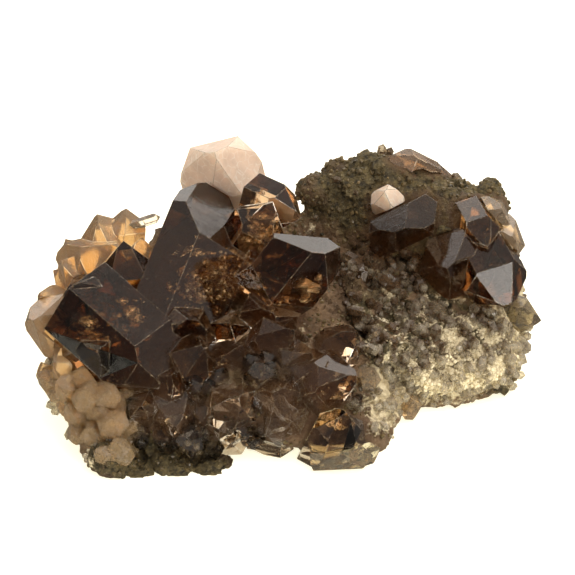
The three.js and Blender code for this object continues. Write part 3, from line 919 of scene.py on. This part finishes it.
def add_quartz(bm, root, axis, width, height, draw):
    """Adds a crystal that stands height out of root and goes as deep again."""
    block = bmesh.new()
    bmesh.ops.create_cube(block, size=2 * height)
    spin = draw.uniform(0, SIXTH)
    for side in range(6):
        turn = spin + side * SIXTH
        flat = Vector((math.cos(turn), math.sin(turn), 0))
        trim(block, flat, width / 2 * draw.uniform(0.8, 1.15))
        slope = flat * math.sin(POINT_TILT) + Vector((0, 0, 1)) * math.cos(POINT_TILT)
        stand_out = (side % 2) * 0.15 + draw.uniform(-0.12, 0.15)
        trim(block, slope, height * math.cos(POINT_TILT) + width / 2 * stand_out)
    turned = Matrix.Translation(root) @ axis.to_track_quat("Z", "Y").to_matrix().to_4x4()
    block.transform(turned @ Matrix.Scale(MM, 4))
    trim(block, Vector((0, 0, -1)), -FLOOR_GAP, 1e-7)
    bmesh.ops.recalc_face_normals(block, faces=block.faces)
    mesh = bpy.data.meshes.new("one_crystal")
    block.to_mesh(mesh)
    block.free()
    bm.from_mesh(mesh)
    bpy.data.meshes.remove(mesh)


print("turn from a side to a point's face, degrees:", round(90 - math.degrees(POINT_TILT), 1))

# %% [markdown]
# ## Crystals of the hollow
# Eight larger crystals stand out of the druse in the hollow. The part has them as lumps of its crust. Here
# each gets its six sides and its point, at the place where the line of sight comes down to the crust.

# %% Crystals of the hollow
SMALL_EDGE_DEGREES = 20
SMALL_BEVEL = 0.05 * MM
SMALLEST_BEVEL = 0.03 * MM


def finished_crystals(name, bm, finish, bevel):
    bm.faces.index_update()
    lay_grain(bm)
    piece = piece_from(name, bm, finish)
    if bevel:
        wear_edges(piece, bevel, SMALL_EDGE_DEGREES)
    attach(piece, "root")
    print(name, "faces:", len(piece.data.polygons))
    return piece


# Where each one is seen, where it points, its width and its height.
HOLLOW_CRYSTALS = [
    ((21.1, 37.2), (0.3, 0.5, 0.8), 3.0, 2.5),
    ((17.6, 34.4), (-0.3, 0.4, 0.85), 3.4, 2.6),
    ((19.1, 31.1), (0.2, -0.2, 0.95), 4.5, 2.0),
    ((16.6, 24.2), (-0.2, 0.6, 0.75), 5.0, 3.0),
    ((22.6, 34.6), (0.3, 0.2, 0.9), 3.0, 2.0),
    ((27.8, 30.0), (0.2, 0.5, 0.8), 3.6, 2.4),
    ((15.0, 18.0), (0.3, 0.4, 0.85), 4.0, 2.5),
    ((23.0, 13.0), (0.2, 0.3, 0.9), 4.0, 2.4),
]
CRUST_LEVEL = 1.8 * MM
SIGHT_STEP = 0.25


def crust_place(across, up):
    """Where the line of sight comes as near to the rock as the crust is thick."""
    back = 0.0
    while rock_faces.find_nearest(seen(across, up, back))[3] > CRUST_LEVEL:
        back += SIGHT_STEP
    return seen(across, up, back)


draw = random.Random(5)
bm = bmesh.new()
hollow_roots = []
for place, direction, width, height in HOLLOW_CRYSTALS:
    hollow_roots.append((crust_place(*place), heading(*direction), width, height))
    add_quartz(bm, *hollow_roots[-1], draw)
finished_crystals("hollow_crystals", bm, amber, SMALL_BEVEL)

# %% [markdown]
# ## Foot of the front row and the left rim
# A clear yellow slab lies at the foot of the front row, and pale crystals stand low on the left rim down to
# the table. They are placed one by one, because the outline of the specimen runs over them. The pale ones
# grow from the first surface that their line of sight meets.

# %% Foot of the front row and the left rim
bm = bmesh.new()
add_quartz(bm, seen(10.5, 4.0, 3.2), heading(1, 0.05, 0.2), 4.4, 5.5, draw)
add_quartz(bm, seen(14.5, 4.6, 5.0), heading(0.6, 0.2, 0.5), 3.4, 3.5, draw)
finished_crystals("foot_slab", bm, honey, SMALL_BEVEL)

RIM_CRYSTALS = [
    ((-36.5, 11.5), (-0.5, 0.3, 0.7), 5.0, 4.0),
    ((-33.5, 8.0), (-0.3, 0.3, 0.7), 5.5, 3.6),
    ((-30.5, 10.0), (0.0, 0.3, 0.9), 5.0, 3.6),
    ((-34.5, 14.5), (-0.2, 0.4, 0.85), 5.5, 4.0),
    ((-29.5, 5.5), (-0.2, 0.5, 0.6), 4.5, 2.4),
    ((-38.5, 16.0), (-0.6, 0.3, 0.7), 5.0, 3.6),
    ((-27.5, 8.5), (0.1, 0.2, 0.95), 4.5, 3.0),
    ((-31.5, 15.0), (0.0, 0.3, 0.9), 5.0, 3.6),
    ((-32.0, 4.4), (-0.6, 0.3, 0.5), 3.6, 2.0),
]
bm = bmesh.new()
for place, direction, width, height in RIM_CRYSTALS:
    root = first_hit([skin_faces, *crystal_trees], *place)[0]
    add_quartz(bm, root, heading(*direction), width, height, draw)
finished_crystals("rim_foot_crystals", bm, pale, SMALLEST_BEVEL)

# %% [markdown]
# ## Crystals in the gaps
# The gaps of the front and the left rim are full of small crystals in no order. Lines of sight are drawn at
# random with a fixed seed, and one crystal grows where a line meets bare rock that has no crystal yet. It
# leans between the rock's own normal and straight up. Scattering by nodes would do it too, but here the
# lines of sight keep them to the side that is seen.

# %% Crystals in the gaps
# Name, finish, slot, across from and to, up from and to, how many tries, narrowest and widest.
FILLED = [
    ("front_small_crystals", smoky, "smoky_quartz", (-27, 13), (3, 24), 300, 2.4, 5.5),
    ("rim_small_crystals", pale, "pale_quartz", (-46, -26), (5, 27), 160, 2.4, 5.0),
]
everything_solid = [skin_faces, crust_faces, *crystal_trees]
FRONT_LIMIT = -31 * MM
LOWEST_ROOT = 3 * MM
for name, finish, slot, across_range, up_range, tries, narrow, wide in FILLED:
    bm = bmesh.new()
    roots = []
    for _ in range(tries):
        hit = first_hit(everything_solid, draw.uniform(*across_range), draw.uniform(*up_range))
        width = draw.uniform(narrow, wide)
        if hit is None or hit[2] != 0 or hit[0].z < LOWEST_ROOT or hit[0].y < FRONT_LIMIT:
            continue
        if any((hit[0] - other).length < width * 0.5 * MM for other in roots):
            continue
        roots.append(hit[0])
        lean = Vector([draw.uniform(-0.45, 0.45) for _ in range(3)])
        axis = (hit[1] + Vector((0, -0.15, 0.7)) + lean).normalized()
        add_quartz(bm, hit[0], axis, width, width * draw.uniform(0.6, 1.0), draw)
    print(name, "crystals:", len(roots))
    finished_crystals(name, bm, finish, 0.0)

# %% [markdown]
# ## Veils inside the crystals
# Smoky quartz glitters golden from within: thin cracks and healed fractures in it are mirrors of air. Each
# is a small bent flake, thinner than paper, and they come in swarms, which lie where the stone glints.
# A noise bump on the skin would glint too, but only at the surface: real ones lie deep and move behind it.

# %% Finish of the veils
VEIL_TINTS = (0.95, 0.62, 0.28), (1.0, 0.88, 0.64)
flake_finish, tree = new_material("golden_veil", (0.9, 0.6, 0.25))
place = place_of(tree)
shards = noise_at(tree, place, 0.55, 5, 0.75, 1.2)
ripple = bump(tree, noise_at(tree, place, 0.25, 3, 0.6), 0.08, 1.0)
mirror = put(
    tree,
    "ShaderNodeBsdfPrincipled",
    {
        "Base Color": blend(tree, ramp(tree, shards, 0.4, 0.7), *VEIL_TINTS),
        "Metallic": 0.85,
        "Roughness": 0.22,
        "Alpha": ramp(tree, shards, 0.46, 0.54),
        "Normal": ripple,
    },
)
put(tree, "ShaderNodeOutputMaterial", {"Surface": mirror.outputs[0]})
print("nodes in the finish of the veils:", len(tree.nodes))

# %% One veil
HALF_SHEET = 0.02
RING_CORNERS = 8


def add_flake(bm, middle, facing, radius, draw):
    """A bent flake: a ring of corners with one corner above its middle and one below."""
    turn = facing.to_track_quat("Z", "Y").to_matrix()
    bend = draw.uniform(-0.5, 0.5)
    stretch = draw.uniform(0.25, 0.9)
    ring = []
    for step in range(RING_CORNERS):
        angle = step * math.tau / RING_CORNERS
        reach = radius * draw.uniform(0.6, 1.0)
        x, y = reach * math.cos(angle), reach * stretch * math.sin(angle)
        ring.append(bm.verts.new(middle + turn @ Vector((x, y, bend * x * x / radius)) * MM))
    top = bm.verts.new(middle + turn @ Vector((0, 0, HALF_SHEET)) * MM)
    low = bm.verts.new(middle - turn @ Vector((0, 0, HALF_SHEET)) * MM)
    for one, other in zip(ring, ring[1:] + ring[:1]):
        bm.faces.new((one, other, top))
        bm.faces.new((other, one, low))


print("thickness of a veil, mm:", 2 * HALF_SHEET)

# %% Swarms of veils
# Where each swarm is seen, how far it spreads, how deep under the surface it lies, and its count.
SWARMS = [
    ((-11.0, 35.5), 4.6, 3.0, 260),
    ((-15.5, 33.5), 4.2, 2.8, 130),
    ((-18.5, 40.0), 3.0, 3.0, 16),
    ((5.0, 34.4), 2.0, 2.0, 22),
    ((-5.0, 34.5), 1.8, 2.0, 18),
    ((5.5, 31.6), 2.2, 2.0, 20),
    ((-1.0, 32.0), 3.0, 3.0, 24),
    ((-5.0, 46.0), 3.4, 2.5, 40),
    ((-33.0, 25.0), 4.0, 4.0, 26),
    ((-27.0, 30.0), 4.0, 3.5, 22),
    ((-10.0, 19.0), 4.5, 2.0, 40),
    ((2.0, 20.0), 4.5, 2.0, 40),
    ((8.0, 13.0), 4.0, 2.0, 30),
    ((-20.0, 12.0), 4.5, 2.0, 30),
]
DEEPEST = 6 * MM


def depth_inside(place):
    """How deep inside a crystal a place lies, in millimetres."""
    return -way_to_crystals(place, DEEPEST) / MM


bm = bmesh.new()
flakes = 0
for (across, up), spread, depth, count in SWARMS:
    middle = first_hit(crystal_trees, across, up)[0] - toward_viewer * depth * MM
    tilt = heading(draw.uniform(-0.5, 0.5), 0.7, 0.8)
    for _ in range(count):
        offset = Vector([draw.gauss(0, spread * 0.5) for _ in range(3)])
        radius = 0.3 + 2.4 * draw.random() ** 2
        if depth_inside(middle + offset * MM) < radius * 0.6 + 0.2:
            continue
        facing = (tilt + Vector([draw.uniform(-0.6, 0.6) for _ in range(3)])).normalized()
        add_flake(bm, middle + offset * MM, facing, radius, draw)
        flakes += 1
veils = piece_from("veils", bm, flake_finish, smooth=True)
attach(veils, "root")
print("flakes:", flakes)

# %% [markdown]
# ## Druse of the hollow
# A druse is a lawn of tiny crystals: the same shape hundreds of times, each with its own size, spin and
# lean. That is work for Geometry Nodes, which scatters one small crystal over the crust. Under it lies the
# crust itself, rough cream grains with dark gaps. The lumps that the part has for the larger crystals are
# pressed flat first, so that they don't show through the clear crystals that stand there.

# %% Druse base
CRUST_GROWTH = 0.1 * MM
CRUST_ROUGH_MM = 0.8
LUMP_FOOT = 0.2 * MM
PRESSED_SHARE = 0.8
druse_base_finish, druse_base_tree = new_material("druse_base", (0.5, 0.45, 0.33))
druse_base = remade(piece_from("druse_base", merged_copy("druse_crust"), druse_base_finish), ROCK_GRID)
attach(druse_base, "root")
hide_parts("druse_crust")
for vertex in druse_base.data.vertices:
    for root, axis, width, _ in hollow_roots:
        offset = vertex.co - root
        risen = offset.dot(axis)
        beside = (offset - axis * risen).length
        if risen > LUMP_FOOT and beside < (width * 0.6 + 0.3) * MM:
            vertex.co -= axis * risen * PRESSED_SHARE
            break
weather(druse_base, CRUST_GROWTH, CRUST_ROUGH_MM)
print("druse base faces:", len(druse_base.data.polygons))

# %% Colours of the druse base


def cream_of_hollow(place):
    low = 1.0 - min(1.0, max(0.0, (place.z / MM - 8) / 14))
    right = min(1.0, max(0.0, (place.x / MM - 12) / 20))
    return min(1.0, max(0.0, 0.85 * low * (0.7 + 0.3 * right) + 0.6 * noise.noise(place / (3 * MM))))


def dark_of_hollow(place):
    return 0.5 + 0.6 * noise.noise(place / (2.2 * MM))


crust_corners = [vertex.co.copy() for vertex in druse_base.data.vertices]
share_on(druse_base, "cream", [cream_of_hollow(corner) for corner in crust_corners])
# Painted shade: the same brown shade darkens the crust in the cleft beside the hollow.
share_on(druse_base, "painted_shade", [cleft_shade_share(corner, 14) for corner in crust_corners])
share_on(druse_base, "dark", [dark_of_hollow(corner) for corner in crust_corners])
dress_rock(druse_base_tree)
print("corners of the crust:", len(crust_corners))

# %% [markdown]
# ## Scattering by nodes
# One node tree does all four lawns. It sets points on a surface, no two closer than the spacing, and more of
# them where the surface's growth share is high. On each point it puts one small body with its own size,
# spin and lean. A loop in the script could do it too, but a tree is quick for thousands, and its named
# inputs are all that differs between crystals and grains.

# %% Scattering by nodes
MOST_PER_SQUARE_METRE = 4e6


def random_between(tree, low, high, kind="FLOAT", seed=0):
    node = put(tree, "FunctionNodeRandomValue", data_type=kind)
    sockets = [socket for socket in node.inputs if socket.enabled]
    for socket, value in zip(sockets, (low, high)):
        if isinstance(value, bpy.types.NodeSocket):
            tree.links.new(value, socket)
        else:
            socket.default_value = value
    sockets[-1].default_value = seed
    return next(socket for socket in node.outputs if socket.enabled)


def growth_tree():
    """Scatters a small body over a surface, more where its growth attribute is high."""
    tree = bpy.data.node_groups.new("lawn", "GeometryNodeTree")
    sockets = (
        ("Geometry", "NodeSocketGeometry"),
        ("Body", "NodeSocketObject"),
        ("Finish", "NodeSocketMaterial"),
        ("Spacing", "NodeSocketFloat"),
        ("Smallest", "NodeSocketFloat"),
        ("Largest", "NodeSocketFloat"),
        ("Lean", "NodeSocketFloat"),
        ("Seed", "NodeSocketInt"),
    )
    for label, kind in sockets:
        tree.interface.new_socket(label, in_out="INPUT", socket_type=kind)
    tree.interface.new_socket("Geometry", in_out="OUTPUT", socket_type="NodeSocketGeometry")
    given = put(tree, "NodeGroupInput").outputs
    growth = put(tree, "GeometryNodeInputNamedAttribute", {"Name": "growth"}).outputs["Attribute"]
    points = put(
        tree,
        "GeometryNodeDistributePointsOnFaces",
        {
            "Mesh": given["Geometry"],
            "Distance Min": given["Spacing"],
            "Density Max": MOST_PER_SQUARE_METRE,
            "Density Factor": growth,
            "Seed": given["Seed"],
        },
        distribute_method="POISSON",
    )
    sway = random_between(tree, (-1.0, -1.0, -1.0), (1.0, 1.0, 1.0), "FLOAT_VECTOR", 1)
    swayed = put(tree, "ShaderNodeVectorMath", {0: sway}, operation="SCALE")
    tree.links.new(given["Lean"], swayed.inputs["Scale"])
    upward = put(tree, "ShaderNodeVectorMath", {0: points.outputs["Normal"], 1: swayed.outputs[0]})
    aligned = put(tree, "FunctionNodeAlignRotationToVector", {"Vector": upward.outputs[0]}, axis="Z")
    spin = put(
        tree,
        "FunctionNodeAxisAngleToRotation",
        {"Axis": (0.0, 0.0, 1.0), "Angle": random_between(tree, 0.0, math.tau, seed=2)},
    )
    turned = put(
        tree,
        "FunctionNodeRotateRotation",
        {"Rotation": aligned.outputs[0], "Rotate By": spin.outputs[0]},
        rotation_space="LOCAL",
    )
    size = random_between(tree, given["Smallest"], given["Largest"], seed=3)
    body = put(tree, "GeometryNodeObjectInfo", {"Object": given["Body"]})
    placed = put(
        tree,
        "GeometryNodeInstanceOnPoints",
        {
            "Points": points.outputs["Points"],
            "Instance": body.outputs["Geometry"],
            "Rotation": turned.outputs[0],
            "Scale": size,
        },
    )
    real = put(tree, "GeometryNodeRealizeInstances", {"Geometry": placed.outputs[0]})
    dressed = put(
        tree, "GeometryNodeSetMaterial", {"Geometry": real.outputs[0], "Material": given["Finish"]}
    )
    put(tree, "NodeGroupOutput", {"Geometry": dressed.outputs[0]})
    return tree


lawn = growth_tree()
print("nodes in the lawn tree:", len(lawn.nodes))

# %% Growing on a surface


def grown_on(name, ground, growth, slot, **settings):
    """A piece of its own: what the lawn tree scatters over the ground's surface."""
    mesh = ground.data.copy()
    piece = bpy.data.objects.new(name, mesh)
    scene.collection.objects.link(piece)
    share_on(piece, "growth", [growth(vertex.co) for vertex in mesh.vertices])
    modifier = piece.modifiers.new("lawn", "NODES")
    modifier.node_group = lawn
    names = {item.name: item.identifier for item in lawn.interface.items_tree if item.in_out == "INPUT"}
    for label, value in settings.items():
        modifier[names[label]] = value
    applied(piece)
    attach(piece, "root")
    print(name, "faces:", len(piece.data.polygons))
    return piece


print("inputs of the lawn:", [item.name for item in lawn.interface.items_tree if item.in_out == "INPUT"])

# %% [markdown]
# ## Two small bodies
# The druse is made of tiny six-sided crystals with one leaning tip, and the grit of rounded chips. Both are
# modelled once, one unit wide, and are never seen themselves.

# %% Two small bodies
UNEVEN = 0.12


def small_body(name, build):
    """A body one metre wide that the lawn scales down. It isn't part of the specimen."""
    bm = bmesh.new()
    build(bm)
    mesh = bpy.data.meshes.new(name)
    bm.to_mesh(mesh)
    bm.free()
    return bpy.data.objects.new(name, mesh)


def tiny_crystal(bm):
    """A prism with every second corner a little higher, under one tip that leans."""
    rings = []
    for height, reach in ((-0.4, 0.5), (0.55, 0.5)):
        ring = []
        for side in range(6):
            x, y = math.cos(side * SIXTH) * reach, math.sin(side * SIXTH) * reach
            ring.append(bm.verts.new((x, y, height + UNEVEN * (side % 2))))
        rings.append(ring)
    tip = bm.verts.new((0.06, 0.03, 1.05))
    bm.faces.new(list(reversed(rings[0])))
    for side in range(6):
        after = (side + 1) % 6
        bm.faces.new((rings[0][side], rings[0][after], rings[1][after], rings[1][side]))
        bm.faces.new((rings[1][side], rings[1][after], tip))


def chip(bm):
    bmesh.ops.create_icosphere(bm, subdivisions=1, radius=0.5)
    for vertex in bm.verts:
        vertex.co *= 1.0 + 0.3 * noise.noise(vertex.co * 2.3)
        vertex.co.z *= 0.75


tiny = small_body("tiny_crystal", tiny_crystal)
grain = small_body("grain", chip)
print("faces of a tiny crystal and of a grain:", len(tiny.data.polygons), len(grain.data.polygons))

# %% [markdown]
# ## Finish of the druse
# Tiny crystals are mostly clear, but many together look white, because each scatters the light of its
# neighbours. So they are part glass and part pale stone. Towards the top of the wall they are browner.

# %% Finish of the druse


def druse_finish(name, light_tint, dark_tint, clear_share, height_mm=(0, 0)):
    """Paler at the foot of the hollow than at the top of its wall, from and to the given heights."""
    made, tree = new_material(name, light_tint)
    place = place_of(tree)
    patches = noise_at(tree, place, 2.5, 4, 0.6)
    fine = noise_at(tree, place, 0.5, 3, 0.6)
    pale_share = ramp(tree, patches, 0.35, 0.65)
    if height_mm[1]:
        height = put(tree, "ShaderNodeSeparateXYZ", {"Vector": place}).outputs["Z"]
        low = ramp(tree, height, height_mm[0] * MM, height_mm[1] * MM, 0.35, -0.45)
        pale_share = ramp(tree, maths(tree, "ADD", pale_share, low), 0.0, 1.0)
    colour = blend(tree, pale_share, dark_tint, light_tint)
    skin = put(
        tree,
        "ShaderNodeBsdfPrincipled",
        {
            "Base Color": colour,
            "Roughness": ramp(tree, fine, 0.35, 0.7, 0.12, 0.5),
            "Transmission Weight": clear_share,
            "IOR": QUARTZ_BEND,
            "Normal": bump(tree, fine, 0.05, 0.8),
        },
    )
    put(tree, "ShaderNodeOutputMaterial", {"Surface": skin.outputs[0]})
    return made


sparkle = druse_finish("druse_sparkle", (0.93, 0.84, 0.64), (0.17, 0.10, 0.05), 0.7, (5, 19))
cream_grit = druse_finish("cream_grit", (0.92, 0.84, 0.60), (0.16, 0.11, 0.055), 0.0, (6, 20))
dark_grit = druse_finish("dark_grit", (0.20, 0.145, 0.065), (0.025, 0.021, 0.010), 0.0)
print("finishes:", sparkle.name, cream_grit.name, dark_grit.name)

# %% [markdown]
# ## Where the lawns grow
# A real druse has gaps, and nothing grows under a big crystal or where the rock lies on the table. Each lawn
# has a share on its ground's corners that says how thick it grows: noise for the gaps, times how free the
# place is, times the kind of rock that it grows on.

# %% Where the lawns grow
BARE_FOOT = 0.9 * MM


def free_share(place, start_mm=0.3):
    """0 under a crystal and at the foot, 1 a little way from them."""
    if place.z < BARE_FOOT:
        return 0.0
    return min(1.0, max(0.0, (way_to_crystals(place) / MM - start_mm) / 0.6))


def hollow_growth(place):
    gaps = 0.5 + 1.5 * noise.noise(place / (2.6 * MM))
    return min(1.0, max(0.0, gaps)) * free_share(place)


def grit_growth(place):
    gaps = 0.6 + 1.2 * noise.noise(place / (3.4 * MM) + Vector((5, 5, 5)))
    return min(1.0, max(0.0, gaps)) * free_share(place) * (1.0 - cream_share(place))


def pale_growth(place):
    gaps = 0.4 + 1.5 * noise.noise(place / (2.0 * MM))
    return min(1.0, max(0.0, gaps)) * free_share(place) * min(1.0, 2 * cream_share(place))


def cream_growth(place):
    return min(1.0, cream_of_hollow(place) * 1.6) * free_share(place)


thick = sum(hollow_growth(corner) > 0.5 for corner in crust_corners)
print("share of the hollow with a thick druse:", round(thick / len(crust_corners), 2))

# %% [markdown]
# ## Druse and grains
# Four lawns: tiny crystals and cream grit in the hollow, tiny crystals on the cream rock, and dark grit on
# the rest. They overlap a little, as grains of two kinds do, so no border shows between them.

# %% Druse and grains
grown_on(
    "druse_points", druse_base, hollow_growth, "druse",
    Body=tiny, Finish=sparkle, Spacing=1.0 * MM, Smallest=0.5 * MM, Largest=2.3 * MM, Lean=0.7, Seed=3,
)
grown_on(
    "druse_grains", druse_base, cream_growth, "druse",
    Body=grain, Finish=cream_grit, Spacing=0.55 * MM, Smallest=0.35 * MM, Largest=1.1 * MM, Lean=0.8, Seed=4,
)
grown_on(
    "rock_points", rock, pale_growth, "druse",
    Body=tiny, Finish=sparkle, Spacing=0.9 * MM, Smallest=0.5 * MM, Largest=1.8 * MM, Lean=0.7, Seed=6,
)
grown_on(
    "rock_grains", rock, grit_growth, "matrix_rock",
    Body=grain, Finish=dark_grit, Spacing=1.0 * MM, Smallest=0.35 * MM, Largest=1.3 * MM, Lean=0.8, Seed=5,
)
